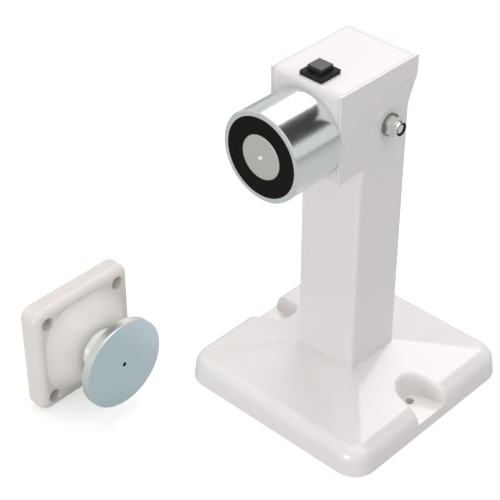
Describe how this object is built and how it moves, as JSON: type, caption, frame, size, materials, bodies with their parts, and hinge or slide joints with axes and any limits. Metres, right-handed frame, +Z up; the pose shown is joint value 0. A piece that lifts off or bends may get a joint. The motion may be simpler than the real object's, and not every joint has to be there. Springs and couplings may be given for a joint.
{
  "type": "electromagnetic door holder",
  "caption": "Floor pedestal with a round pot magnet and a release button on its head, and a ball-jointed keeper with an armature disc that a door carries.",
  "frame": {"origin": "middle of the pedestal's underside, on the floor", "axes": "+Z up, -Y the way the magnet faces, +X the side of the lock nut"},
  "size_m": [0.1764, 0.21, 0.2175],
  "materials": {
    "gloss_white": "gloss",
    "white_paint": "semi-gloss",
    "zinc": "zinc plated",
    "plain_steel": "plain",
    "black_resin": "semi-gloss",
    "black_plastic": "satin",
    "natural_nylon": "satin",
    "copper": "enamelled",
    "brass": "plain",
    "warm_white": "satin",
    "white_acetal": "satin"
  },
  "bodies": {
    "pedestal": {"base_moulding": "gloss_white", "column_shell": "white_paint", "head_cover": "white_paint", "magnet_pot": "zinc", "magnet_core": "zinc", "cross_bolt": "zinc", "cross_bolt_washers": "zinc", "lock_nut": "zinc", "foot_plate": "plain_steel", "foot_screws": "plain_steel", "foot_washers": "plain_steel", "spacer_sleeve": "plain_steel", "magnet_bolt": "plain_steel", "magnet_washer": "plain_steel", "button_spring": "plain_steel", "retainer_screws": "plain_steel", "socket_retainer": "plain_steel", "resin_ring": "black_resin", "button_housing": "black_plastic", "lock_nut_insert": "black_plastic", "coil_bobbin": "natural_nylon", "terminal_block": "natural_nylon", "coil_winding": "copper", "button_terminals": "brass", "terminal_screws": "brass", "keeper_plate": "warm_white"},
    "button": {"button_cap": "black_plastic"},
    "keeper_socket": {"socket_seat": "natural_nylon"},
    "keeper_head": {"pivot_ball": "white_acetal", "armature_disc": "zinc"}
  },
  "joints": [
    {"name": "button_press", "type": "slide", "parent": "pedestal", "child": "button", "axis": [0, 0, -1], "range_m": [0, 0.0018], "stiffness_N_per_m": 600, "springref_m": -0.0008, "deforming": ["button_spring"]},
    {"name": "keeper_swivel", "type": "hinge", "parent": "pedestal", "child": "keeper_socket", "pos_m": [-0.0914, -0.11, 0.0345], "axis": [0, 0, 1], "range_deg": [-12, 12]},
    {"name": "keeper_tilt", "type": "hinge", "parent": "keeper_socket", "child": "keeper_head", "pos_m": [-0.0914, -0.11, 0.0345], "axis": [0, -1, 0], "range_deg": [-12, 12]}
  ]
}
